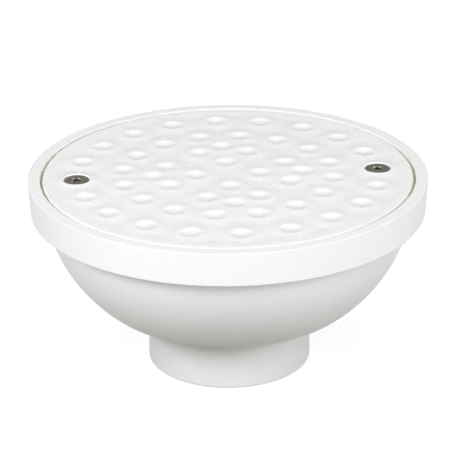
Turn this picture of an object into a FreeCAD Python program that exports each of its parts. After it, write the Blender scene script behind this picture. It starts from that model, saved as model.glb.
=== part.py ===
import FreeCAD, Part
import math
import os

# Round-bottomed PVC floor drain with a solid, dimpled cover.
# Millimetres, +Z up. The origin is the centre of the outlet's lower face, and
# the two cover screws lie on the X axis.

# Rim band
rim_diameter = 187.3
rim_band_height = 15.8
rim_band_draft = 0.8
rim_top_round = 0.5
rim_top_flat_count = 2
rim_land_width = 5.65

# Bowl
bowl_inset = 6.4
bowl_spring_depth = 4.9
bowl_depth = 61.1
bowl_flat_diameter = 120.0
bowl_wall = 4.0
bowl_inside_band_count = 3
bowl_side_arc_count = 3
bowl_floor_fall = 1.5
ledge_width = 6.0

# Collar and outlet hub
collar_diameter = 103.0
collar_height = 5.5
collar_edge_chamfer = 0.6
hub_diameter = 77.7
hub_length = 26.7
hub_foot_chamfer = 0.8
socket_diameter = 60.5
socket_depth = 19.0
socket_mouth_chamfer = 0.8
waterway_diameter = 52.5
waterway_lip_chamfer = 1.5

# Cover
cover_thickness = 6.0
cover_edge_gap = 1.5
cover_sink = 0.15
cover_shoulder_radius = 0.6
cover_shoulder_flat_count = 2
rib_depth = 6.0
rib_thickness = 3.0
rib_count = 8
rib_ring_inset = 11.9
rib_hub_diameter = 22.0

# Dimples in the cover's top
dimple_diameter = 10.2
dimple_depth = 1.2
outer_dimple_count = 20
middle_dimple_count = 16
middle_ring_step = 21.1
cross_ring_step = 14.2
flank_ring_step = 5.2
flank_dimple_angle = 22.5
centre_ring_step = 15.4

# Cover screws, their threaded inserts and the pillars that hold them
screw_edge_distance = 15.6
screw_head_diameter = 11.8
screw_head_angle = 82.0
screw_head_edge = 0.35
screw_shank_diameter = 6.2
screw_length = 25.4
screw_tip_chamfer = 0.9
screw_sink = 0.1
screw_hole_clearance = 0.35
cross_width = 1.5
cross_span = 6.6
cross_depth = 2.3
cross_side_slope = 9.0
cross_end_slope = 27.0
insert_diameter = 9.6
insert_length = 12.7
thread_clearance = 0.05
insert_fit_clearance = 0.03
pillar_diameter = 14.0
pillar_web = 6.0
pillar_pocket_spare = 3.0

# Places worked out from the sizes above
rim_radius = rim_diameter / 2
recess_radius = rim_radius - rim_land_width
ledge_radius = recess_radius - ledge_width
hub_top_z = hub_length
bowl_bottom_z = hub_top_z + collar_height
rim_top_z = bowl_bottom_z + bowl_depth
seat_z = rim_top_z - cover_sink - cover_thickness
cover_top_z = rim_top_z - cover_sink
cover_radius = recess_radius - cover_edge_gap
screw_radius = cover_radius - screw_edge_distance
head_slope = math.tan(math.radians(screw_head_angle / 2))
screw_head_z = cover_top_z - screw_sink
seam_angle = 10.0
vertical = FreeCAD.Vector(0, 0, 1)
centre = FreeCAD.Vector(0, 0, 0)


def at(radius, z):
    """A point of a section, drawn in the XZ plane."""
    return FreeCAD.Vector(radius, 0, z)


def line(start, end):
    return Part.makeLine(start, end)


def round_points(middle, radius, from_angle, to_angle, flats):
    """Points along a round of a section, in degrees from the horizontal, joined later by flats."""
    points = []
    for number in range(flats + 1):
        turn = math.radians(from_angle + (to_angle - from_angle) * number / flats)
        points.append(at(middle.x + radius * math.cos(turn), middle.z + radius * math.sin(turn)))
    return points


def run(points):
    """Straight edges through the points of a section, in their order."""
    return [line(a, b) for a, b in zip(points, points[1:])]


def turned(edges):
    """The solid made by turning a closed section about the vertical axis.

    Its seam is turned away from the plane through both screws.
    """
    section = Part.Face(Part.Wire(edges))
    section.rotate(centre, vertical, seam_angle)
    return section.revolve(centre, vertical, 360)


def turned_outline(points):
    """The solid turned from a closed section that has straight edges only."""
    return turned(run(points + points[:1]))


def post(radius, foot_z, top_z, x=0):
    """An upright cylinder on the X axis."""
    corners = [at(0, foot_z), at(radius, foot_z), at(radius, top_z), at(0, top_z)]
    return moved(turned_outline(corners), x, 0, 0)


def moved(shape, x, y, z):
    copy = shape.copy()
    copy.translate(FreeCAD.Vector(x, y, z))
    return copy


def spun(shape, angle):
    copy = shape.copy()
    copy.rotate(centre, vertical, angle)
    return copy


def bowl_side():
    """Centre and radius of the arc of the bowl's outer side.

    The arc springs upright at the rim and passes through the edge of the
    bowl's flat bottom, and both conditions together fix it.
    """
    spring_radius = rim_radius - bowl_inset
    run_in = spring_radius - bowl_flat_diameter / 2
    drop = bowl_depth - bowl_spring_depth
    side_radius = (run_in ** 2 + drop ** 2) / (2 * run_in)
    return at(spring_radius - side_radius, rim_top_z - bowl_spring_depth), side_radius


def bowl_side_run():
    """The bowl's outer side, from under the band down to the edge of its flat bottom.

    It is one circle, laid as a few arcs that follow each other.
    """
    side_centre, side_radius = bowl_side()
    band_foot_z = rim_top_z - rim_band_height
    top_angle = -math.degrees(math.asin((side_centre.z - band_foot_z) / side_radius))
    foot_angle = -math.degrees(math.asin((side_centre.z - bowl_bottom_z) / side_radius))
    halves = 2 * bowl_side_arc_count
    points = round_points(side_centre, side_radius, top_angle, foot_angle, halves)
    triples = zip(points[:-2:2], points[1:-1:2], points[2::2])
    return [Part.Arc(*triple).toShape() for triple in triples], points[0], points[-1]


def bowl_bands(depth_in_wall):
    """Straight runs of a section from the bowl's floor up to its ledge.

    They follow the outer side at the given depth in from its face.
    """
    side_centre, side_radius = bowl_side()
    radius = side_radius - depth_in_wall
    floor_z = bowl_bottom_z + depth_in_wall
    floor_angle = -math.degrees(math.asin((side_centre.z - floor_z) / radius))
    top_angle = -math.degrees(math.acos((ledge_radius - side_centre.x) / (side_radius - bowl_wall)))
    return round_points(side_centre, radius, floor_angle, top_angle, bowl_inside_band_count)


def bowl_inside():
    """The inside, from the top of the socket up to the cover ledge.

    The floor falls a little towards the waterway.
    """
    lip_z = bowl_bottom_z + bowl_wall - bowl_floor_fall
    waterway_radius = waterway_diameter / 2
    waterway = [
        at(waterway_radius, socket_depth),
        at(waterway_radius, lip_z - waterway_lip_chamfer),
        at(waterway_radius + waterway_lip_chamfer, lip_z),
    ]
    return waterway + bowl_bands(bowl_wall) + [at(ledge_radius, seat_z)]


def body_shell():
    """Rim band, bowl, collar and hub, turned as one wall."""
    band_foot = at(rim_radius - rim_band_draft, rim_top_z - rim_band_height)
    draft_angle = math.degrees(math.atan2(rim_band_draft, rim_band_height))
    top_round = at(rim_radius - rim_top_round, rim_top_z - rim_top_round)
    side, side_top, side_foot = bowl_side_run()
    collar_radius = collar_diameter / 2
    hub_radius = hub_diameter / 2
    socket_radius = socket_diameter / 2
    recess_top = at(recess_radius, rim_top_z)
    rim = [recess_top] + round_points(top_round, rim_top_round, 90, -draft_angle, rim_top_flat_count)
    rim += [band_foot, side_top]
    outlet = [
        side_foot,
        at(collar_radius, bowl_bottom_z),
        at(collar_radius, hub_top_z + collar_edge_chamfer),
        at(collar_radius - collar_edge_chamfer, hub_top_z),
        at(hub_radius, hub_top_z),
        at(hub_radius, hub_foot_chamfer),
        at(hub_radius - hub_foot_chamfer, 0),
        at(socket_radius + socket_mouth_chamfer, 0),
        at(socket_radius, socket_mouth_chamfer),
        at(socket_radius, socket_depth),
    ]
    recess = [at(recess_radius, seat_z), recess_top]
    return turned(run(rim) + side + run(outlet + bowl_inside() + recess))


def pillar_envelope():
    """Everything under the cover ledge and inside the middle of the bowl's wall."""
    bands = bowl_bands(bowl_wall / 2)
    top = [at(bands[-1].x, seat_z), at(0, seat_z)]
    return turned_outline([at(0, bands[0].z)] + bands + top)


def screw_pillar(envelope):
    """One pillar under a cover screw, webbed to the bowl's side and grown down into it."""
    pillar = post(pillar_diameter / 2, bowl_bottom_z, seat_z, screw_radius)
    web_start = FreeCAD.Vector(screw_radius, -pillar_web / 2, bowl_bottom_z)
    web = Part.makeBox(rim_radius - screw_radius, pillar_web, seat_z - bowl_bottom_z, web_start)
    return pillar.fuse(web).common(envelope)


def pillar_pocket():
    """The seat of a threaded insert, with room below it for the screw's end."""
    insert_radius = insert_diameter / 2 + insert_fit_clearance
    seat = post(insert_radius, seat_z - insert_length, seat_z, screw_radius)
    depth = screw_length + screw_sink - cover_thickness + pillar_pocket_spare
    room_radius = screw_shank_diameter / 2 + screw_hole_clearance
    room = post(room_radius, seat_z - depth, seat_z, screw_radius)
    return seat.fuse(room)


def drain_body():
    """The one-piece moulding: rim, ledge, bowl, screw pillars, collar and hub."""
    pillar = screw_pillar(pillar_envelope())
    body = body_shell().fuse([pillar, spun(pillar, 180)])
    pocket = pillar_pocket()
    return body.cut([pocket, spun(pocket, 180)]).removeSplitter()


def cover_plate():
    """The round plate with its rounded shoulder, before the dimples."""
    shoulder = at(cover_radius - cover_shoulder_radius, cover_top_z - cover_shoulder_radius)
    points = [at(0, cover_top_z)]
    points += round_points(shoulder, cover_shoulder_radius, 90, 0, cover_shoulder_flat_count)
    return turned_outline(points + [at(cover_radius, seat_z), at(0, seat_z)])


def cover_ribs():
    """Stiffening under the plate: a ring, a centre boss and spokes between them."""
    foot_z = seat_z - rib_depth
    ring_radius = screw_radius - rib_ring_inset
    ring = post(ring_radius, foot_z, seat_z).cut(post(ring_radius - rib_thickness, foot_z, seat_z))
    boss = post(rib_hub_diameter / 2, foot_z, seat_z)
    spokes = []
    for number in range(rib_count):
        corner = FreeCAD.Vector(0, -rib_thickness / 2, foot_z)
        spoke = Part.makeBox(ring_radius - rib_thickness / 2, rib_thickness, rib_depth, corner)
        spokes.append(spun(spoke, (number + 0.5) * 360 / rib_count))
    return boss.fuse([ring] + spokes)


def dimple_tool():
    """The ball that sinks one shallow dish into the plate, with its poles to the sides."""
    reach = dimple_diameter / 2
    ball_radius = (reach ** 2 + dimple_depth ** 2) / (2 * dimple_depth)
    ball = Part.makeSphere(ball_radius)
    ball.rotate(centre, FreeCAD.Vector(1, 0, 0), 90)
    return moved(ball, 0, 0, cover_top_z + ball_radius - dimple_depth)


def dimple_places():
    """Radius and angle of each dimple, ring by ring from the edge inwards."""
    middle_radius = screw_radius - middle_ring_step
    cross_radius = middle_radius - cross_ring_step
    flank_radius = cross_radius - flank_ring_step
    places = []
    outer_pitch = 360 / outer_dimple_count
    for number in range(outer_dimple_count):
        if number % (outer_dimple_count // 2) != 0:
            places.append((screw_radius, number * outer_pitch))
    middle_pitch = 360 / middle_dimple_count
    for number in range(middle_dimple_count):
        places.append((middle_radius, (number + 0.5) * middle_pitch))
    for arm in (0, 90, 180, 270):
        places.append((cross_radius, arm))
        places.append((flank_radius, arm + flank_dimple_angle))
        places.append((flank_radius, arm - flank_dimple_angle))
        places.append((flank_radius - centre_ring_step, arm))
    return places


def countersunk_hole():
    """A screw's hole in the cover, countersunk to the head's own cone."""
    hole_radius = screw_shank_diameter / 2 + screw_hole_clearance
    head_radius = screw_head_diameter / 2
    mouth_radius = head_radius + (screw_sink + screw_head_edge) * head_slope
    cone_depth = (mouth_radius - hole_radius) / head_slope
    foot_z = seat_z - rib_depth
    return turned_outline([
        at(0, cover_top_z + screw_sink),
        at(mouth_radius, cover_top_z + screw_sink),
        at(mouth_radius, cover_top_z),
        at(hole_radius, cover_top_z - cone_depth),
        at(hole_radius, foot_z),
        at(0, foot_z),
    ])


def cover():
    """The solid dimpled cover, screwed down on the ledge."""
    plate = cover_plate().fuse(cover_ribs())
    ball = dimple_tool()
    cutters = [spun(moved(ball, radius, 0, 0), angle) for radius, angle in dimple_places()]
    hole = moved(countersunk_hole(), screw_radius, 0, 0)
    cutters += [hole, spun(hole, 180)]
    return plate.cut(cutters).removeSplitter()


def cross_recess():
    """The head's cross recess: two crossed slots that narrow downwards."""
    half_span = cross_span / 2
    half_width = cross_width / 2
    foot_span = half_span - cross_depth * math.tan(math.radians(cross_end_slope))
    foot_width = half_width - cross_depth * math.tan(math.radians(cross_side_slope))
    slot = Part.makeWedge(
        -foot_span, 0, -foot_width, -half_width, -half_span,
        foot_span, cross_depth, foot_width, half_width, half_span,
    )
    slot.rotate(centre, FreeCAD.Vector(1, 0, 0), 90)
    slot = moved(slot, 0, 0, screw_head_z - cross_depth)
    return slot.fuse(spun(slot, 90))


def cover_screw(cross_turn):
    """A flat-head machine screw with a cross recess, on the vertical axis."""
    head_radius = screw_head_diameter / 2
    shank_radius = screw_shank_diameter / 2
    cone_top_z = screw_head_z - screw_head_edge
    cone_foot_z = cone_top_z - (head_radius - shank_radius) / head_slope
    tip_z = screw_head_z - screw_length
    body = turned_outline([
        at(0, screw_head_z),
        at(head_radius, screw_head_z),
        at(head_radius, cone_top_z),
        at(shank_radius, cone_foot_z),
        at(shank_radius, tip_z + screw_tip_chamfer),
        at(shank_radius - screw_tip_chamfer, tip_z),
        at(0, tip_z),
    ])
    return body.cut(spun(cross_recess(), cross_turn))


def threaded_insert():
    """A brass sleeve for the screw, flush with the pillar's top, on the vertical axis."""
    outer = insert_diameter / 2
    bore = screw_shank_diameter / 2 + thread_clearance
    foot_z = seat_z - insert_length
    return turned_outline([at(bore, seat_z), at(outer, seat_z), at(outer, foot_z), at(bore, foot_z)])


left_cross_turn = 20.0
right_cross_turn = 52.0

nodes = {
    "drain_body": drain_body(),
    "dimpled_cover": cover(),
    "left_screw": moved(cover_screw(left_cross_turn), -screw_radius, 0, 0),
    "right_screw": moved(cover_screw(right_cross_turn), screw_radius, 0, 0),
    "left_insert": moved(threaded_insert(), -screw_radius, 0, 0),
    "right_insert": moved(threaded_insert(), screw_radius, 0, 0),
}

os.makedirs("parts", exist_ok=True)
for name, shape in nodes.items():
    print(name, shape.ShapeType, shape.isValid(), len(shape.Solids), round(shape.Volume, 1))
    shape.exportStep("parts/" + name + ".step")
print("overall height", rim_top_z)
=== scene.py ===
import bmesh
import bpy
import math
from mathutils import Matrix, Vector
from mathutils.kdtree import KDTree


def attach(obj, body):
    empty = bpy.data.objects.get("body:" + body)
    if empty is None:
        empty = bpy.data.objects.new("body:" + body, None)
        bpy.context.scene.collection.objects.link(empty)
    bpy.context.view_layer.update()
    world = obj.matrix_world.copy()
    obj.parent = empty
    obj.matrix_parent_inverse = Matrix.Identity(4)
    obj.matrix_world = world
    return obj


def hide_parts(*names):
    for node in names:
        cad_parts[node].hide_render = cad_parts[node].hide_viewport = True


# The floor drain as it leaves its mould and its bench: a white PVC body, two brass
# inserts, a dimpled white cover and the two steel screws that hold it down.
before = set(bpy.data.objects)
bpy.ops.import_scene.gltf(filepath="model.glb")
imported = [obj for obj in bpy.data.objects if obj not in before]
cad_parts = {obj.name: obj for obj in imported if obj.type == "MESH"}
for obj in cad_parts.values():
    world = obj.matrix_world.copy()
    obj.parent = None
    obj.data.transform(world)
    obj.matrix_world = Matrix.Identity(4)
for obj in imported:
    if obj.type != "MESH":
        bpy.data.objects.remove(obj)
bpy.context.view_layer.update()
bpy.ops.object.select_all(action="DESELECT")


# Body: one injection moulding in white PVC. A drafted rim band with a flat land stands
# round a deep bowl; a shallow collar and a short outlet hub follow below it. All of it
# is round, so its wall is drawn once as a section and turned about the axis.
rim_radius = 0.09365
rim_top = 0.0933
band_foot_radius = 0.09285
band_foot = 0.0775
recess_radius = 0.088
ledge_radius = 0.082
ledge_top = 0.08715
bowl_side_centre = (0.01567, 0.0884)
bowl_side_radius = 0.07158
bowl_wall = 0.004
bowl_bottom = 0.0322
bowl_inside_top = 0.0755
ledge_foot = 0.0765
collar_radius = 0.0515
collar_foot = 0.0267
hub_radius = 0.03885
socket_radius = 0.03025
socket_end = 0.019
waterway_radius = 0.02625


def rounded(corners):
    """Section points from (radius, z, rounding) corners, each rounding drawn in small steps.

    A point close beside each end of a rounding keeps the flat that follows evenly shaded.
    """
    points = []
    for number, (x, z, rounding) in enumerate(corners):
        here = Vector((x, z))
        if rounding == 0:
            points.append(here)
            continue
        before = Vector(corners[number - 1][:2]) - here
        after = Vector(corners[(number + 1) % len(corners)][:2]) - here
        slack_before = min(0.0004, 0.1 * before.length)
        slack_after = min(0.0004, 0.1 * after.length)
        before.normalize()
        after.normalize()
        half = before.angle(after) / 2
        reach = rounding / math.tan(half)
        middle = here + (before + after).normalized() * (rounding / math.sin(half))
        start = here + before * reach - middle
        end = here + after * reach - middle
        turn = math.atan2(start.x * end.y - start.y * end.x, start.dot(end))
        steps = max(3, round(abs(turn) / 0.22))
        points.append(here + before * (reach + slack_before))
        for step in range(steps + 1):
            angle = turn * step / steps
            c, s = math.cos(angle), math.sin(angle)
            points.append(middle + Vector((start.x * c - start.y * s, start.x * s + start.y * c)))
        points.append(here + after * (reach + slack_after))
    return points


def side_arc(depth_in_wall, from_height, to_height, steps):
    """Points of the bowl's round side at a depth in its wall, as corners without rounding."""
    radius = bowl_side_radius - depth_in_wall
    start = math.asin((bowl_side_centre[1] - from_height) / radius)
    end = math.asin((bowl_side_centre[1] - to_height) / radius)
    corners = []
    for step in range(steps + 1):
        angle = start + (end - start) * step / steps
        x = bowl_side_centre[0] + radius * math.cos(angle)
        corners.append((x, bowl_side_centre[1] - radius * math.sin(angle), 0))
    return corners


def turned(name, points, steps):
    """A closed section drawn point by point with extrude, then spun about the axis."""
    bpy.ops.mesh.primitive_plane_add(size=0.001)
    piece = bpy.context.object
    piece.name = name
    bpy.ops.object.mode_set(mode="EDIT")
    bpy.ops.mesh.select_mode(type="VERT")
    bpy.ops.mesh.select_all(action="SELECT")
    bpy.ops.mesh.merge(type="CENTER")
    bpy.ops.transform.translate(value=(points[0].x, 0, points[0].y))
    for start, end in zip(points, points[1:]):
        step = (end.x - start.x, 0, end.y - start.y)
        bpy.ops.mesh.extrude_region_move(TRANSFORM_OT_translate={"value": step})
    bpy.ops.mesh.select_all(action="SELECT")
    bpy.ops.mesh.edge_face_add()
    bpy.ops.mesh.delete(type="ONLY_FACE")
    bpy.ops.mesh.select_all(action="SELECT")
    bpy.ops.mesh.spin(steps=steps, angle=math.tau, center=(0, 0, 0), axis=(0, 0, 1))
    bpy.ops.mesh.select_all(action="SELECT")
    bpy.ops.mesh.remove_doubles(threshold=0.000002)
    bpy.ops.mesh.normals_make_consistent(inside=False)
    bpy.ops.object.mode_set(mode="OBJECT")
    return piece


def combined(piece, tool, operation):
    """The piece after a second shape is joined to it or cut from it."""
    bpy.ops.object.select_all(action="DESELECT")
    bpy.context.view_layer.objects.active = piece
    piece.select_set(True)
    modifier = piece.modifiers.new(operation.title(), "BOOLEAN")
    modifier.operation = operation
    modifier.solver = "EXACT"
    modifier.object = tool
    bpy.ops.object.modifier_apply(modifier=modifier.name)
    bpy.data.objects.remove(tool)


body_corners = [
    (recess_radius, rim_top, 0.0003),
    (rim_radius, rim_top, 0.0003),
    (band_foot_radius, band_foot, 0.0005),
]
body_corners += side_arc(0, band_foot, bowl_bottom, steps=28)
body_corners += [
    (collar_radius, bowl_bottom, 0.0003),
    (collar_radius, collar_foot, 0.0006),
    (hub_radius, collar_foot, 0.0003),
    (hub_radius, 0, 0.0008),
    (socket_radius, 0, 0.0008),
    (socket_radius, socket_end, 0),
    (waterway_radius, socket_end, 0.0003),
    (waterway_radius, bowl_bottom + bowl_wall - 0.0015, 0.0015),
]
body_corners += side_arc(bowl_wall, bowl_bottom + bowl_wall, bowl_inside_top, steps=20)
body_corners += [
    (ledge_radius, ledge_foot, 0),
    (ledge_radius, ledge_top, 0.0003),
    (recess_radius, ledge_top, 0.0003),
]
drain_moulding = turned("drain_moulding", rounded(body_corners), steps=288)


def upright_cylinder(radius, foot, top, x, sides):
    """A cylinder that stands at a place on the X axis."""
    bpy.ops.mesh.primitive_cylinder_add(
        vertices=sides, radius=radius, depth=top - foot, location=(x, 0, (foot + top) / 2)
    )
    cylinder = bpy.context.object
    bpy.ops.object.transform_apply(location=True, rotation=False, scale=False)
    return cylinder


# Two pillars for the screws grow out of the bowl's wall, each with a web, and end a hair
# below the ledge. Each has a pocket for the brass insert and a narrower bore under it.
screw_place = 0.0709
pillar_radius = 0.007
pillar_foot = 0.02
web_place = 0.0765
web_length = 0.0145
web_thickness = 0.006
pocket_radius = 0.00483
pocket_depth = 0.0127
bore_radius = 0.00345
bore_depth = 0.023
mid_wall = bowl_side_radius - bowl_wall / 2
for side in (-1, 1):
    across = side * screw_place
    pillar = upright_cylinder(pillar_radius, pillar_foot, ledge_top - 0.00002, across, sides=48)
    web_middle = (side * web_place, 0, (pillar_foot + ledge_top) / 2)
    bpy.ops.mesh.primitive_cube_add(size=1, location=web_middle)
    web = bpy.context.object
    web.scale = (web_length, web_thickness, ledge_top - 0.00006 - pillar_foot)
    bpy.ops.object.transform_apply(location=True, rotation=False, scale=True)
    combined(pillar, web, "UNION")
    # The foot of the pillar and its web ends in the middle of the bowl's wall.
    for corner in pillar.data.vertices:
        if corner.co.z < pillar_foot + 0.01:
            out = math.hypot(corner.co.x, corner.co.y) - bowl_side_centre[0]
            corner.co.z = bowl_side_centre[1] - math.sqrt(mid_wall ** 2 - out ** 2)
    combined(drain_moulding, pillar, "UNION")
    for radius, foot, top in (
        (pocket_radius, ledge_top - pocket_depth, ledge_top + 0.001),
        (bore_radius, ledge_top - bore_depth, ledge_top - 0.012),
    ):
        pocket = upright_cylinder(radius, foot, top, across, sides=48)
        combined(drain_moulding, pocket, "DIFFERENCE")


def softly_shaded(piece, degrees):
    """Smooth shading that keeps the edges sharper than the given angle."""
    bpy.ops.object.select_all(action="DESELECT")
    bpy.context.view_layer.objects.active = piece
    piece.select_set(True)
    bpy.ops.object.shade_smooth_by_angle(angle=math.radians(degrees))


def moulded_surface_group():
    """Shared look of moulded PVC: faint clouds, stray specks, painted warm bounce light in the
    gap, uneven skin.
    """
    group = bpy.data.node_groups.new("moulded_surface", "ShaderNodeTree")
    for name, kind, default in (
        ("Cloud", "NodeSocketFloat", 0.02),
        ("Specks", "NodeSocketFloat", 0.3),
        ("Gloss", "NodeSocketFloat", 0.35),
        ("Base", "NodeSocketColor", (0.88, 0.88, 0.87, 1)),
    ):
        socket = group.interface.new_socket(name, in_out="INPUT", socket_type=kind)
        socket.default_value = default
    for name, kind in (
        ("Color", "NodeSocketColor"),
        ("Roughness", "NodeSocketFloat"),
        ("Height", "NodeSocketFloat"),
    ):
        group.interface.new_socket(name, in_out="OUTPUT", socket_type=kind)
    nodes = group.nodes
    links = group.links
    entry = nodes.new("NodeGroupInput")
    leave = nodes.new("NodeGroupOutput")
    place = nodes.new("ShaderNodeTexCoord")

    cloud = nodes.new("ShaderNodeTexNoise")
    cloud.inputs["Scale"].default_value = 28
    cloud.inputs["Detail"].default_value = 3
    links.new(place.outputs["Object"], cloud.inputs["Vector"])
    swing = nodes.new("ShaderNodeMath")
    swing.operation = "SUBTRACT"
    links.new(cloud.outputs["Fac"], swing.inputs[0])
    swing.inputs[1].default_value = 0.5
    amount = nodes.new("ShaderNodeMath")
    amount.operation = "MULTIPLY"
    links.new(swing.outputs[0], amount.inputs[0])
    links.new(entry.outputs["Cloud"], amount.inputs[1])
    level = nodes.new("ShaderNodeMath")
    level.operation = "ADD"
    links.new(amount.outputs[0], level.inputs[0])
    level.inputs[1].default_value = 1.0
    tinted = nodes.new("ShaderNodeVectorMath")
    tinted.operation = "SCALE"
    links.new(entry.outputs["Base"], tinted.inputs[0])
    links.new(level.outputs[0], tinted.inputs["Scale"])

    cells = nodes.new("ShaderNodeTexVoronoi")
    cells.inputs["Scale"].default_value = 75
    links.new(place.outputs["Object"], cells.inputs["Vector"])
    spot = nodes.new("ShaderNodeMapRange")
    spot.inputs["From Min"].default_value = 0.03
    spot.inputs["From Max"].default_value = 0.055
    spot.inputs["To Min"].default_value = 1.0
    spot.inputs["To Max"].default_value = 0.0
    links.new(cells.outputs["Distance"], spot.inputs["Value"])
    few = nodes.new("ShaderNodeMath")
    few.operation = "GREATER_THAN"
    pick = nodes.new("ShaderNodeSeparateColor")
    links.new(cells.outputs["Color"], pick.inputs[0])
    links.new(pick.outputs[0], few.inputs[0])
    few.inputs[1].default_value = 0.93
    speck = nodes.new("ShaderNodeMath")
    speck.operation = "MULTIPLY"
    links.new(spot.outputs[0], speck.inputs[0])
    links.new(few.outputs[0], speck.inputs[1])
    shown = nodes.new("ShaderNodeMath")
    shown.operation = "MULTIPLY"
    links.new(speck.outputs[0], shown.inputs[0])
    links.new(entry.outputs["Specks"], shown.inputs[1])
    dirt = nodes.new("ShaderNodeMix")
    dirt.data_type = "RGBA"
    links.new(shown.outputs[0], dirt.inputs["Factor"])
    links.new(tinted.outputs[0], dirt.inputs[6])
    dirt.inputs[7].default_value = (0.35, 0.34, 0.32, 1)

    # The walls of the gap round the cover, beside the two screws, are painted paler and warmer:
    # painted warm bounce light in the gap.
    painted_gap_light_radii = (0.0862, 0.08815)
    painted_gap_light_heights = (0.0868, 0.0929)
    painted_gap_light_sideways = (0.068, 0.080)
    parts = nodes.new("ShaderNodeSeparateXYZ")
    links.new(place.outputs["Object"], parts.inputs[0])
    level_place = nodes.new("ShaderNodeCombineXYZ")
    links.new(parts.outputs["X"], level_place.inputs["X"])
    links.new(parts.outputs["Y"], level_place.inputs["Y"])
    from_axis = nodes.new("ShaderNodeVectorMath")
    from_axis.operation = "LENGTH"
    links.new(level_place.outputs[0], from_axis.inputs[0])
    in_gap = None
    for value, operation, limit in (
        (from_axis.outputs["Value"], "GREATER_THAN", painted_gap_light_radii[0]),
        (from_axis.outputs["Value"], "LESS_THAN", painted_gap_light_radii[1]),
        (parts.outputs["Z"], "LESS_THAN", painted_gap_light_heights[1]),
        (parts.outputs["Z"], "GREATER_THAN", painted_gap_light_heights[0]),
    ):
        test = nodes.new("ShaderNodeMath")
        test.operation = operation
        links.new(value, test.inputs[0])
        test.inputs[1].default_value = limit
        if in_gap is None:
            in_gap = test
            continue
        both = nodes.new("ShaderNodeMath")
        both.operation = "MULTIPLY"
        links.new(in_gap.outputs[0], both.inputs[0])
        links.new(test.outputs[0], both.inputs[1])
        in_gap = both
    sideways = nodes.new("ShaderNodeMath")
    sideways.operation = "ABSOLUTE"
    links.new(parts.outputs["X"], sideways.inputs[0])
    near_ends = nodes.new("ShaderNodeMapRange")
    near_ends.inputs["From Min"].default_value = painted_gap_light_sideways[0]
    near_ends.inputs["From Max"].default_value = painted_gap_light_sideways[1]
    links.new(sideways.outputs[0], near_ends.inputs["Value"])
    painted_gap_light_share = nodes.new("ShaderNodeMath")
    painted_gap_light_share.operation = "MULTIPLY"
    links.new(in_gap.outputs[0], painted_gap_light_share.inputs[0])
    links.new(near_ends.outputs[0], painted_gap_light_share.inputs[1])
    # Painted warm bounce light mixed into the colour of the gap's walls.
    painted_gap_light = nodes.new("ShaderNodeMix")
    painted_gap_light.data_type = "RGBA"
    links.new(painted_gap_light_share.outputs[0], painted_gap_light.inputs["Factor"])
    links.new(dirt.outputs[2], painted_gap_light.inputs[6])
    painted_gap_light.inputs[7].default_value = (1.0, 0.965, 0.88, 1)
    links.new(painted_gap_light.outputs[2], leave.inputs["Color"])

    skin = nodes.new("ShaderNodeTexNoise")
    skin.inputs["Scale"].default_value = 900
    skin.inputs["Detail"].default_value = 4
    links.new(place.outputs["Object"], skin.inputs["Vector"])
    waves = nodes.new("ShaderNodeTexNoise")
    waves.inputs["Scale"].default_value = 110
    waves.inputs["Detail"].default_value = 2
    links.new(place.outputs["Object"], waves.inputs["Vector"])
    height = nodes.new("ShaderNodeMath")
    height.operation = "MULTIPLY_ADD"
    links.new(waves.outputs["Fac"], height.inputs[0])
    height.inputs[1].default_value = 2.5
    links.new(skin.outputs["Fac"], height.inputs[2])
    links.new(height.outputs[0], leave.inputs["Height"])
    rough = nodes.new("ShaderNodeMath")
    rough.operation = "MULTIPLY_ADD"
    links.new(waves.outputs["Fac"], rough.inputs[0])
    rough.inputs[1].default_value = 0.10
    links.new(entry.outputs["Gloss"], rough.inputs[2])
    links.new(rough.outputs[0], leave.inputs["Roughness"])
    return group


moulded_surface = moulded_surface_group()


def white_pvc(name, base, cloud, specks, gloss, bump):
    """White PVC straight from its mould, with its own whiteness, gloss and amount of specks."""
    material = bpy.data.materials.new(name)
    material.use_nodes = True
    nodes = material.node_tree.nodes
    links = material.node_tree.links
    shader = nodes["Principled BSDF"]
    shader.inputs["IOR"].default_value = 1.5
    look = nodes.new("ShaderNodeGroup")
    look.node_tree = moulded_surface
    look.inputs["Base"].default_value = base
    look.inputs["Cloud"].default_value = cloud
    look.inputs["Specks"].default_value = specks
    look.inputs["Gloss"].default_value = gloss
    links.new(look.outputs["Color"], shader.inputs["Base Color"])
    links.new(look.outputs["Roughness"], shader.inputs["Roughness"])
    relief = nodes.new("ShaderNodeBump")
    relief.inputs["Strength"].default_value = bump
    relief.inputs["Distance"].default_value = 0.0001
    links.new(look.outputs["Height"], relief.inputs["Height"])
    links.new(relief.outputs["Normal"], shader.inputs["Normal"])
    return material


softly_shaded(drain_moulding, degrees=38)
body_pvc = white_pvc(
    "body_pvc", (0.866, 0.868, 0.874, 1), cloud=0.03, specks=0.4, gloss=0.38, bump=0.25
)
drain_moulding.data.materials.clear()
drain_moulding.data.materials.append(body_pvc)
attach(drain_moulding, "root")
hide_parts("drain_body")


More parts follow.
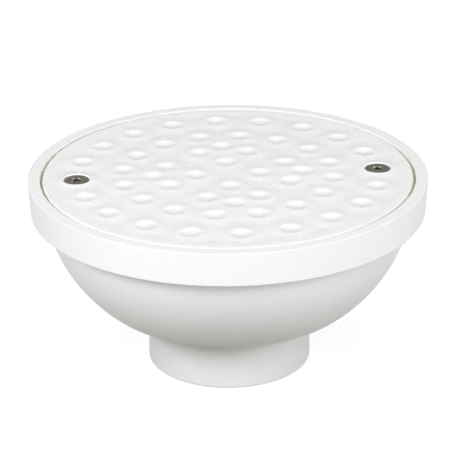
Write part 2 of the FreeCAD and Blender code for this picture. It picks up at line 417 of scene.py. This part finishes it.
# Inserts: two turned brass sleeves, pressed into the pillars flush with the ledge, each
# with a thread for a cover screw. The cover hides them.
def brass():
    """Turned brass with faint tool rings and a little tarnish."""
    material = bpy.data.materials.new("turned_brass")
    material.use_nodes = True
    nodes = material.node_tree.nodes
    links = material.node_tree.links
    shader = nodes["Principled BSDF"]
    shader.inputs["Metallic"].default_value = 1.0
    place = nodes.new("ShaderNodeTexCoord")
    tarnish = nodes.new("ShaderNodeTexNoise")
    tarnish.inputs["Scale"].default_value = 260
    tarnish.inputs["Detail"].default_value = 5
    links.new(place.outputs["Object"], tarnish.inputs["Vector"])
    tone = nodes.new("ShaderNodeValToRGB")
    tone.color_ramp.elements[0].color = (0.44, 0.29, 0.10, 1)
    tone.color_ramp.elements[1].color = (0.78, 0.57, 0.26, 1)
    links.new(tarnish.outputs["Fac"], tone.inputs["Fac"])
    links.new(tone.outputs["Color"], shader.inputs["Base Color"])
    rings = nodes.new("ShaderNodeTexWave")
    rings.bands_direction = "Z"
    rings.inputs["Scale"].default_value = 900
    rings.inputs["Distortion"].default_value = 0.6
    links.new(place.outputs["Object"], rings.inputs["Vector"])
    worn = nodes.new("ShaderNodeMapRange")
    worn.inputs["To Min"].default_value = 0.22
    worn.inputs["To Max"].default_value = 0.42
    links.new(tarnish.outputs["Fac"], worn.inputs["Value"])
    links.new(worn.outputs[0], shader.inputs["Roughness"])
    relief = nodes.new("ShaderNodeBump")
    relief.inputs["Strength"].default_value = 0.3
    relief.inputs["Distance"].default_value = 0.00005
    links.new(rings.outputs["Fac"], relief.inputs["Height"])
    links.new(relief.outputs["Normal"], shader.inputs["Normal"])
    return material


insert_brass = brass()
for node in ("left_insert", "right_insert"):
    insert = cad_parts[node]
    insert.data.materials.clear()
    insert.data.materials.append(insert_brass)


# Cover: a thick round moulding in the same white PVC. Its top is dished by fifty shallow
# dimples on low swellings, its edge is rounded over, and ribs stiffen it underneath.
cover_radius = 0.08675
cover_top = 0.09306
cover_shoulder = 0.0006
cover_flat_radius = cover_radius - cover_shoulder
cover_edge_points = 512
ground_radius = 0.0765
ground_slope = 0.0082
ground_sink = 0.0003
dimple_reach = 0.0052
dimple_depth = 0.00105
swelling_reach = 0.0130
swelling_height = 0.0006
screw_swelling_height = 1.67 * swelling_height
evened_radius = 0.0845

bpy.ops.mesh.primitive_circle_add(
    vertices=cover_edge_points, radius=cover_flat_radius, location=(0, 0, cover_top)
)
cover_moulding = bpy.context.object
cover_moulding.name = "cover_moulding"
bpy.ops.object.transform_apply(location=True, rotation=False, scale=False)
bpy.ops.object.mode_set(mode="EDIT")
bpy.ops.mesh.select_all(action="SELECT")
bpy.ops.mesh.fill_grid(span=cover_edge_points // 4)
bpy.ops.mesh.select_all(action="SELECT")
bpy.ops.mesh.subdivide(number_cuts=1)

# Eighteen dimples share the screws' circle, sixteen stand on a second circle, and in each
# quarter inside it lie three on an arc and one near the middle.
second_circle = 0.0498
arc_middle = 0.0356
arc_ends = 0.0304
inner_circle = 0.0150
dimple_places = []
for number in range(20):
    if number % 10 != 0:
        dimple_places.append((screw_place, 18 * number))
for number in range(16):
    dimple_places.append((second_circle, 22.5 * number + 11.25))
for arm in (0, 90, 180, 270):
    dimple_places.append((arc_middle, arm))
    dimple_places.append((arc_ends, arm - 22.5))
    dimple_places.append((arc_ends, arm + 22.5))
    dimple_places.append((inner_circle, arm))


def pushed(point, step, reach, falloff):
    """Moves one point of the top, and with it the surface round it out to the reach."""
    bpy.ops.mesh.select_all(action="DESELECT")
    point.select_set(True)
    bpy.ops.transform.translate(
        value=step,
        use_proportional_edit=True,
        proportional_edit_falloff=falloff,
        proportional_size=reach,
    )


bpy.ops.mesh.select_mode(type="VERT")
top_mesh = bmesh.from_edit_mesh(cover_moulding.data)
top_mesh.verts.ensure_lookup_table()
finder = KDTree(len(top_mesh.verts))
for number, point in enumerate(top_mesh.verts):
    finder.insert(point.co, number)
finder.balance()
# The point nearest to each dimple's middle is drawn onto it.
centring_reach = 0.003
middles = []
for radius, angle in dimple_places:
    bearing = math.radians(angle)
    place = Vector((radius * math.cos(bearing), radius * math.sin(bearing), cover_top))
    middles.append(top_mesh.verts[finder.find(place)[1]])
    pushed(middles[-1], place - middles[-1].co, centring_reach, "SMOOTH")
screw_middles = []
for side in (-1, 1):
    place = Vector((side * screw_place, 0, cover_top))
    screw_middles.append(top_mesh.verts[finder.find(place)[1]])

# The ground inside the flat border lies a little lower. The swellings rise from it again,
# each dimple sinks into its own, and the whole is evened out.
bpy.ops.mesh.select_all(action="DESELECT")
for point in top_mesh.verts:
    point.select_set(math.hypot(point.co.x, point.co.y) < ground_radius)
top_mesh.select_flush_mode()
bpy.ops.transform.translate(
    value=(0, 0, -ground_sink),
    use_proportional_edit=True,
    proportional_edit_falloff="SMOOTH",
    proportional_size=ground_slope,
)
for middle in middles:
    pushed(middle, (0, 0, swelling_height), swelling_reach, "SMOOTH")
for middle in screw_middles:
    pushed(middle, (0, 0, screw_swelling_height), swelling_reach, "SMOOTH")
for middle in middles:
    pushed(middle, (0, 0, -dimple_depth), dimple_reach, "INVERSE_SQUARE")
bpy.ops.mesh.select_all(action="DESELECT")
for point in top_mesh.verts:
    point.select_set(math.hypot(point.co.x, point.co.y) < evened_radius)
top_mesh.select_flush_mode()
bpy.ops.mesh.vertices_smooth(factor=0.5, repeat=4)

# The shoulder, the side and the underside follow from the border's loop.
bpy.ops.mesh.select_all(action="SELECT")
bpy.ops.mesh.region_to_loop()
shoulder_steps = 5
foot_bevel = 0.0003
underside_radius = 0.078
loop_radius = cover_flat_radius
loop_height = cover_top
edge_steps = []
for step in range(1, shoulder_steps + 1):
    angle = math.radians(90 * step / shoulder_steps)
    edge_steps.append((
        cover_flat_radius + cover_shoulder * math.sin(angle),
        cover_top - cover_shoulder + cover_shoulder * math.cos(angle),
    ))
edge_steps += [
    (cover_radius, ledge_top + foot_bevel),
    (cover_radius - foot_bevel, ledge_top),
    (underside_radius, ledge_top),
]
for radius, height in edge_steps:
    share = radius / loop_radius
    bpy.ops.mesh.extrude_edges_move(TRANSFORM_OT_translate={"value": (0, 0, height - loop_height)})
    bpy.ops.transform.resize(value=(share, share, 1), center_override=(0, 0, height))
    loop_radius = radius
    loop_height = height
bpy.ops.mesh.edge_face_add()
bpy.ops.mesh.select_all(action="SELECT")
bpy.ops.mesh.normals_make_consistent(inside=False)
bpy.ops.object.mode_set(mode="OBJECT")

# Ribs underneath: a ring, a centre boss and eight spokes between them.
rib_foot = ledge_top - 0.006
rib_top = ledge_top + 0.0002
ring_inside = 0.056
ring_outside = 0.059
boss_radius = 0.011
spoke_span = 0.115
spoke_thickness = 0.003
ring_section = [
    Vector((ring_inside, rib_top)),
    Vector((ring_outside, rib_top)),
    Vector((ring_outside, rib_foot)),
    Vector((ring_inside, rib_foot)),
]
cover_ribs = turned("cover_ribs", ring_section, steps=96)
combined(cover_ribs, upright_cylinder(boss_radius, rib_foot, rib_top, 0, sides=48), "UNION")
for number in range(4):
    bpy.ops.mesh.primitive_cube_add(size=1, location=(0, 0, (rib_foot + rib_top) / 2))
    spoke = bpy.context.object
    spoke.scale = (spoke_span, spoke_thickness, rib_top - rib_foot - 0.00002)
    spoke.rotation_euler = (0, 0, math.radians(22.5 + 45 * number))
    bpy.ops.object.transform_apply(location=True, rotation=True, scale=True)
    combined(cover_ribs, spoke, "UNION")
combined(cover_moulding, cover_ribs, "UNION")

# Two countersunk holes for the screws, cut through the plate. Each has a wide chamfer, a
# short steep lip, the cone under the screw's head and the plain hole, from the top.
cutter_top = 0.0960
cutter_foot = 0.0800
hole_section = [
    Vector((0, cutter_top)),
    Vector((0.00760, cutter_top)),
    Vector((0.00760, 0.09373)),
    Vector((0.00610, 0.09290)),
    Vector((0.00590, 0.09260)),
    Vector((0.00345, 0.08978)),
    Vector((0.00345, cutter_foot)),
    Vector((0, cutter_foot)),
]
for side in (-1, 1):
    countersink = turned("countersink", hole_section, steps=96)
    for point in countersink.data.vertices:
        point.co.x += side * screw_place
    combined(cover_moulding, countersink, "DIFFERENCE")

softly_shaded(cover_moulding, degrees=38)
cover_pvc = white_pvc(
    "cover_pvc", (0.905, 0.907, 0.915, 1), cloud=0.02, specks=0.0, gloss=0.22, bump=0.06
)
cover_moulding.data.materials.clear()
cover_moulding.data.materials.append(cover_pvc)
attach(cover_moulding, "root")
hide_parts("dimpled_cover")


# Screws: two flat-head machine screws in dull stainless steel, headed and rolled from
# wire. Each has a cross recess in its head and a thread along its whole shank.
screw_head_top = 0.09295
screw_head_radius = 0.00578
screw_head_rim = 0.00035
screw_shank_radius = 0.0031
screw_cone_foot = 0.08938
screw_end = 0.06765
screw_end_bevel = 0.0009
screw_pitch = 0.00127
thread_turns = 17
groove_size = 0.0007
cross_reach = 0.0029
cross_half_width = 0.0011
cross_depth = 0.0023
cross_block = 0.004
cross_taper = (0.6, 0.55, 1)


def cross_slot(turn):
    """One slot of the cross recess, a block that narrows downwards on the screw's axis."""
    recess_floor = screw_head_top - cross_depth
    bpy.ops.mesh.primitive_cube_add(size=1, location=(0, 0, recess_floor + cross_block / 2))
    slot = bpy.context.object
    slot.scale = (2 * cross_reach, 2 * cross_half_width, cross_block)
    bpy.ops.object.transform_apply(location=True, rotation=False, scale=True)
    bpy.ops.object.mode_set(mode="EDIT")
    bpy.ops.mesh.select_mode(type="VERT")
    block = bmesh.from_edit_mesh(slot.data)
    for corner in block.verts:
        corner.select_set(corner.co.z < recess_floor + cross_block / 4)
    block.select_flush_mode()
    bpy.ops.transform.resize(value=cross_taper, center_override=(0, 0, screw_head_top))
    bpy.ops.mesh.select_all(action="SELECT")
    bpy.ops.transform.rotate(value=math.radians(turn), orient_axis="Z", center_override=(0, 0, 0))
    bpy.ops.object.mode_set(mode="OBJECT")
    return slot


def thread_groove():
    """The thread's groove: a triangle screwed down round the shank, its two ends closed."""
    bpy.ops.mesh.primitive_circle_add(vertices=3, radius=groove_size, location=(0, 0, 0))
    groove = bpy.context.object
    bpy.ops.object.mode_set(mode="EDIT")
    bpy.ops.mesh.select_all(action="SELECT")
    bpy.ops.transform.rotate(value=math.radians(90), orient_axis="X", center_override=(0, 0, 0))
    bpy.ops.transform.rotate(value=math.radians(90), orient_axis="Y", center_override=(0, 0, 0))
    bpy.ops.transform.translate(value=(screw_shank_radius + 0.00012, 0, screw_end - 0.001))
    bpy.ops.object.mode_set(mode="OBJECT")
    winding = groove.modifiers.new("Winding", "SCREW")
    winding.axis = "Z"
    winding.screw_offset = screw_pitch
    winding.iterations = thread_turns
    winding.steps = 28
    winding.render_steps = 28
    winding.use_smooth_shade = False
    bpy.ops.object.modifier_apply(modifier=winding.name)
    bpy.ops.object.mode_set(mode="EDIT")
    bpy.ops.mesh.select_mode(type="EDGE")
    bpy.ops.mesh.select_all(action="DESELECT")
    bpy.ops.mesh.select_non_manifold(extend=False, use_wire=False, use_multi_face=False)
    bpy.ops.mesh.fill()
    bpy.ops.mesh.select_all(action="SELECT")
    bpy.ops.mesh.normals_make_consistent(inside=False)
    bpy.ops.object.mode_set(mode="OBJECT")
    return groove


def dull_steel():
    """Stainless steel, dark and grainy; its recess has painted shade inside and a painted
    highlight, partly the driver's wear, on its upper walls.
    """
    material = bpy.data.materials.new("dull_steel")
    material.use_nodes = True
    nodes = material.node_tree.nodes
    links = material.node_tree.links
    shader = nodes["Principled BSDF"]
    shader.inputs["Metallic"].default_value = 0.85
    place = nodes.new("ShaderNodeTexCoord")
    grain = nodes.new("ShaderNodeTexNoise")
    grain.inputs["Scale"].default_value = 1500
    grain.inputs["Detail"].default_value = 4
    links.new(place.outputs["Object"], grain.inputs["Vector"])
    tone = nodes.new("ShaderNodeValToRGB")
    tone.color_ramp.elements[0].position = 0.35
    tone.color_ramp.elements[0].color = (0.137, 0.129, 0.109, 1)
    tone.color_ramp.elements[1].position = 0.70
    tone.color_ramp.elements[1].color = (0.336, 0.320, 0.280, 1)
    links.new(grain.outputs["Fac"], tone.inputs["Fac"])

    # The recess is painted dark inside as painted shade. Its walls are painted bright close under
    # the head's face, and further down at the ends of its four arms: a painted highlight, partly
    # also the driver's wear.
    recess_reach = 0.0036
    highlight_and_wear_depth = 0.00020
    arm_ends = 0.0019
    arm_highlight_and_wear_depth = 0.0008
    face_depth = 0.00003
    parts = nodes.new("ShaderNodeSeparateXYZ")
    links.new(place.outputs["Object"], parts.inputs[0])
    outwards = nodes.new("ShaderNodeMath")
    outwards.operation = "ABSOLUTE"
    links.new(parts.outputs["X"], outwards.inputs[0])
    across = nodes.new("ShaderNodeMath")
    across.operation = "SUBTRACT"
    links.new(outwards.outputs[0], across.inputs[0])
    across.inputs[1].default_value = screw_place
    level_place = nodes.new("ShaderNodeCombineXYZ")
    links.new(across.outputs[0], level_place.inputs["X"])
    links.new(parts.outputs["Y"], level_place.inputs["Y"])
    from_axis = nodes.new("ShaderNodeVectorMath")
    from_axis.operation = "LENGTH"
    links.new(level_place.outputs[0], from_axis.inputs[0])
    in_recess = nodes.new("ShaderNodeMath")
    in_recess.operation = "LESS_THAN"
    links.new(from_axis.outputs["Value"], in_recess.inputs[0])
    in_recess.inputs[1].default_value = recess_reach
    recess_highlight_and_wear = None
    for least_radius, least_height in (
        (0, screw_head_top - highlight_and_wear_depth),
        (arm_ends, screw_head_top - arm_highlight_and_wear_depth),
    ):
        in_arm = nodes.new("ShaderNodeMath")
        in_arm.operation = "GREATER_THAN"
        links.new(from_axis.outputs["Value"], in_arm.inputs[0])
        in_arm.inputs[1].default_value = least_radius
        shallow = nodes.new("ShaderNodeMath")
        shallow.operation = "GREATER_THAN"
        links.new(parts.outputs["Z"], shallow.inputs[0])
        shallow.inputs[1].default_value = least_height
        both = nodes.new("ShaderNodeMath")
        both.operation = "MULTIPLY"
        links.new(in_arm.outputs[0], both.inputs[0])
        links.new(shallow.outputs[0], both.inputs[1])
        if recess_highlight_and_wear is None:
            recess_highlight_and_wear = both
            continue
        either = nodes.new("ShaderNodeMath")
        either.operation = "MAXIMUM"
        links.new(recess_highlight_and_wear.outputs[0], either.inputs[0])
        links.new(both.outputs[0], either.inputs[1])
        recess_highlight_and_wear = either
    # Painted shade deep in the recess, painted highlight on its upper walls.
    recess_shade_and_highlight = nodes.new("ShaderNodeMix")
    recess_shade_and_highlight.data_type = "RGBA"
    links.new(recess_highlight_and_wear.outputs[0], recess_shade_and_highlight.inputs["Factor"])
    recess_shade_and_highlight.inputs[6].default_value = (0.045, 0.040, 0.035, 1)
    recess_shade_and_highlight.inputs[7].default_value = (0.55, 0.54, 0.50, 1)
    below_face = nodes.new("ShaderNodeMath")
    below_face.operation = "LESS_THAN"
    links.new(parts.outputs["Z"], below_face.inputs[0])
    below_face.inputs[1].default_value = screw_head_top - face_depth
    recess = nodes.new("ShaderNodeMath")
    recess.operation = "MULTIPLY"
    links.new(in_recess.outputs[0], recess.inputs[0])
    links.new(below_face.outputs[0], recess.inputs[1])
    shown = nodes.new("ShaderNodeMix")
    shown.data_type = "RGBA"
    links.new(recess.outputs[0], shown.inputs["Factor"])
    links.new(tone.outputs["Color"], shown.inputs[6])
    links.new(recess_shade_and_highlight.outputs[2], shown.inputs[7])
    links.new(shown.outputs[2], shader.inputs["Base Color"])
    worn = nodes.new("ShaderNodeMapRange")
    worn.inputs["To Min"].default_value = 0.42
    worn.inputs["To Max"].default_value = 0.62
    links.new(grain.outputs["Fac"], worn.inputs["Value"])
    links.new(worn.outputs[0], shader.inputs["Roughness"])
    relief = nodes.new("ShaderNodeBump")
    relief.inputs["Strength"].default_value = 0.5
    relief.inputs["Distance"].default_value = 0.00006
    links.new(grain.outputs["Fac"], relief.inputs["Height"])
    links.new(relief.outputs["Normal"], shader.inputs["Normal"])
    return material


screw_steel = dull_steel()
screw_corners = [
    (0, screw_head_top, 0),
    (screw_head_radius, screw_head_top, 0.0001),
    (screw_head_radius, screw_head_top - screw_head_rim, 0.0001),
    (screw_shank_radius, screw_cone_foot, 0.0002),
    (screw_shank_radius, screw_end + screw_end_bevel, 0),
    (screw_shank_radius - screw_end_bevel, screw_end, 0),
    (0, screw_end, 0),
]
for name, node, side, turn in (
    ("left_flat_head_screw", "left_screw", -1, 38),
    ("right_flat_head_screw", "right_screw", 1, 49),
):
    screw = turned(name, rounded(screw_corners), steps=64)
    combined(screw, thread_groove(), "DIFFERENCE")
    combined(screw, cross_slot(turn), "DIFFERENCE")
    combined(screw, cross_slot(turn + 90), "DIFFERENCE")
    bpy.ops.object.mode_set(mode="EDIT")
    bpy.ops.mesh.select_all(action="SELECT")
    bpy.ops.mesh.remove_doubles(threshold=0.000001)
    bpy.ops.transform.translate(value=(side * screw_place, 0, 0))
    bpy.ops.object.mode_set(mode="OBJECT")
    softly_shaded(screw, degrees=30)
    screw.data.materials.clear()
    screw.data.materials.append(screw_steel)
    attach(screw, "root")
    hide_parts(node)


# The drain stands on a white table that runs on behind it. Seen directly, the table is
# lifted towards white and keeps the drain's soft shadow. Close round the drain, the colour it
# throws back is painted darker and warmer: a painted shadow of the drain in the bounced light.
bpy.ops.mesh.primitive_plane_add(size=12, location=(0, 0, 0))
table = bpy.context.object
table.name = "table"
table_white = bpy.data.materials.new("table_white")
table_white.use_nodes = True
table_nodes = table_white.node_tree.nodes
table_links = table_white.node_tree.links
table_nodes.clear()
paper = table_nodes.new("ShaderNodeBsdfDiffuse")
paper_place = table_nodes.new("ShaderNodeTexCoord")
paper_reach = table_nodes.new("ShaderNodeVectorMath")
paper_reach.operation = "LENGTH"
table_links.new(paper_place.outputs["Object"], paper_reach.inputs[0])
painted_shadow_share = table_nodes.new("ShaderNodeMapRange")
painted_shadow_share.inputs["From Min"].default_value = 0.10
painted_shadow_share.inputs["From Max"].default_value = 0.30
table_links.new(paper_reach.outputs["Value"], painted_shadow_share.inputs["Value"])
# Painted shadow: the light the table throws back is darker and warmer close round the drain.
paper_painted_shadow = table_nodes.new("ShaderNodeValToRGB")
paper_painted_shadow.color_ramp.elements[0].color = (0.15, 0.138, 0.095, 1)
paper_painted_shadow.color_ramp.elements[1].color = (0.54, 0.54, 0.54, 1)
table_links.new(painted_shadow_share.outputs[0], paper_painted_shadow.inputs["Fac"])
table_links.new(paper_painted_shadow.outputs["Color"], paper.inputs["Color"])
faint = table_nodes.new("ShaderNodeBsdfDiffuse")
faint.inputs["Color"].default_value = (0.16, 0.16, 0.16, 1)
lift = table_nodes.new("ShaderNodeEmission")
lift.inputs["Strength"].default_value = 0.90
seen = table_nodes.new("ShaderNodeAddShader")
rays = table_nodes.new("ShaderNodeLightPath")
mirrored = table_nodes.new("ShaderNodeMath")
mirrored.operation = "MAXIMUM"
direct = table_nodes.new("ShaderNodeMath")
direct.operation = "MAXIMUM"
choice = table_nodes.new("ShaderNodeMixShader")
result = table_nodes.new("ShaderNodeOutputMaterial")
table_links.new(faint.outputs[0], seen.inputs[0])
table_links.new(lift.outputs[0], seen.inputs[1])
table_links.new(rays.outputs["Is Glossy Ray"], mirrored.inputs[0])
table_links.new(rays.outputs["Is Transmission Ray"], mirrored.inputs[1])
table_links.new(rays.outputs["Is Camera Ray"], direct.inputs[0])
table_links.new(mirrored.outputs[0], direct.inputs[1])
table_links.new(direct.outputs[0], choice.inputs["Fac"])
table_links.new(paper.outputs[0], choice.inputs[1])
table_links.new(seen.outputs[0], choice.inputs[2])
table_links.new(choice.outputs[0], result.inputs["Surface"])
table.data.materials.append(table_white)

room = bpy.data.worlds.new("room")
bpy.context.scene.world = room
room.use_nodes = True
room.node_tree.nodes["Background"].inputs["Color"].default_value = (1, 1, 1, 1)
room.node_tree.nodes["Background"].inputs["Strength"].default_value = 0.15


def softbox(name, place, width, height, power):
    """A broad lamp at a place, turned towards the drain."""
    lamp = bpy.data.lights.new(name, "AREA")
    lamp.shape = "RECTANGLE"
    lamp.size = width
    lamp.size_y = height
    lamp.energy = power
    holder = bpy.data.objects.new(name, lamp)
    bpy.context.scene.collection.objects.link(holder)
    holder.location = place
    towards_drain = Vector((0, 0, 0.05)) - Vector(place)
    holder.rotation_euler = towards_drain.to_track_quat("-Z", "Y").to_euler()


softbox("front_softbox", (-0.092, -1.258, 1.035), width=1.2, height=0.6, power=12.2)
softbox("low_softbox", (-0.114, -1.548, 0.44), width=1.0, height=0.4, power=4.3)
softbox("back_softbox", (0.055, 0.749, 1.463), width=1.0, height=0.5, power=7.4)
softbox("left_softbox", (-1.21, -0.59, 0.92), width=0.8, height=0.5, power=12.1)
softbox("right_softbox", (1.44, -0.50, 0.54), width=0.8, height=0.4, power=9.9)


# The picture is taken from a little above, with a long lens; the right screw stands
# slightly nearer to the far side than the left one.
camera_data = bpy.data.cameras.new("camera")
camera_data.sensor_width = 36
camera_data.lens = 169.3
camera_data.clip_start = 0.05
camera_data.clip_end = 20
camera = bpy.data.objects.new("camera", camera_data)
bpy.context.scene.collection.objects.link(camera)
camera.location = (-0.07532, -0.93525, 0.46923)
turned_right = Matrix.Rotation(math.radians(-4.623), 3, "Z")
tilted_down = Matrix.Rotation(math.radians(90 - 23.321), 3, "X")
rolled = Matrix.Rotation(-0.00856, 3, "Z")
camera.rotation_euler = (turned_right @ tilted_down @ rolled).to_euler()
bpy.context.scene.camera = camera
bpy.context.scene.view_settings.view_transform = "Standard"
